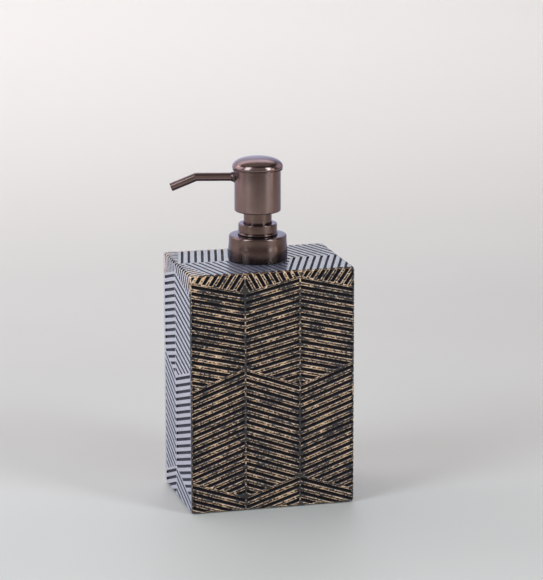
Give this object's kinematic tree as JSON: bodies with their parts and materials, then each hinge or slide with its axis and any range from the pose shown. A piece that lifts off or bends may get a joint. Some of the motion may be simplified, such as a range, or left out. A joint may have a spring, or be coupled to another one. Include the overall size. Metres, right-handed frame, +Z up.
{
  "type": "soap pump dispenser",
  "caption": "Rectangular carved resin bottle with a dark bronze screw-on lotion pump and a bent spout.",
  "frame": {"origin": "on the surface that the bottle stands on, under the pump's axis, which is the middle of the bottle", "axes": "+Z up along the pump's axis, -Y towards the bottle's wide front face, spout along -X swung 10 degrees to +Y"},
  "size_m": [0.0889, 0.062, 0.1821],
  "materials": {
    "resin_black": "cast resin, dark lacquer with gold dry-brushed ridges",
    "bronze": "satin dark bronze",
    "black_plastic": "moulded, fine matte",
    "natural_plastic": "natural translucent polypropylene",
    "seal_rubber": "soft seal",
    "gasket_foam": "foamed liner",
    "pad_foam": "matte foam",
    "bush_black": "matte",
    "steel": "bright stainless wire and ball"
  },
  "bodies": {
    "bottle": {"bottle_shell": "resin_black", "neck_insert": "natural_plastic", "base_plate": "black_plastic", "base_pad": "pad_foam"},
    "pump_unit": {"neck_gasket": "gasket_foam", "pump_housing": "natural_plastic", "chaplet": "black_plastic", "step_ring": "bronze", "stem_seal": "seal_rubber", "return_spring": "steel", "ball_cage": "natural_plastic", "dip_tube": "natural_plastic"},
    "closure": {"closure_cap": "black_plastic", "collar_sleeve": "bronze"},
    "ball": {"inlet_ball": "steel"},
    "poppet": {"poppet_rod": "natural_plastic"},
    "piston": {"piston": "natural_plastic"},
    "head": {"stem_tube": "natural_plastic", "stem_sleeve": "bronze", "actuator_core": "black_plastic", "head_shell": "bronze", "head_cap": "bronze", "spout_tube": "bronze", "spout_bush": "bush_black"}
  },
  "joints": [
    {"name": "pump_rise", "type": "slide", "parent": "bottle", "child": "pump_unit", "axis": [0, 0, 1], "range_m": [0, 0.00566]},
    {"name": "closure_turn", "type": "hinge", "parent": "pump_unit", "child": "closure", "pos_m": [0, 0, 0.1278], "axis": [0, 0, 1], "range_deg": [0, 480]},
    {"name": "pump_stroke", "type": "slide", "parent": "pump_unit", "child": "poppet", "axis": [0, 0, 1], "range_m": [-0.011, 0], "stiffness_N_per_m": 900, "springref_m": 0.01, "deforming": ["return_spring"]},
    {"name": "head_swivel", "type": "hinge", "parent": "poppet", "child": "head", "pos_m": [0, 0, 0.1534], "axis": [0, 0, 1], "continuous": true},
    {"name": "piston_float", "type": "slide", "parent": "poppet", "child": "piston", "axis": [0, 0, 1], "range_m": [0, 0.0012]},
    {"name": "ball_lift", "type": "slide", "parent": "pump_unit", "child": "ball", "axis": [0, 0, 1], "range_m": [0, 0.0015]}
  ],
  "couplings": [
    {"joint": "pump_rise", "follows": "closure_turn", "m_per_rad": 0.00067376}
  ]
}
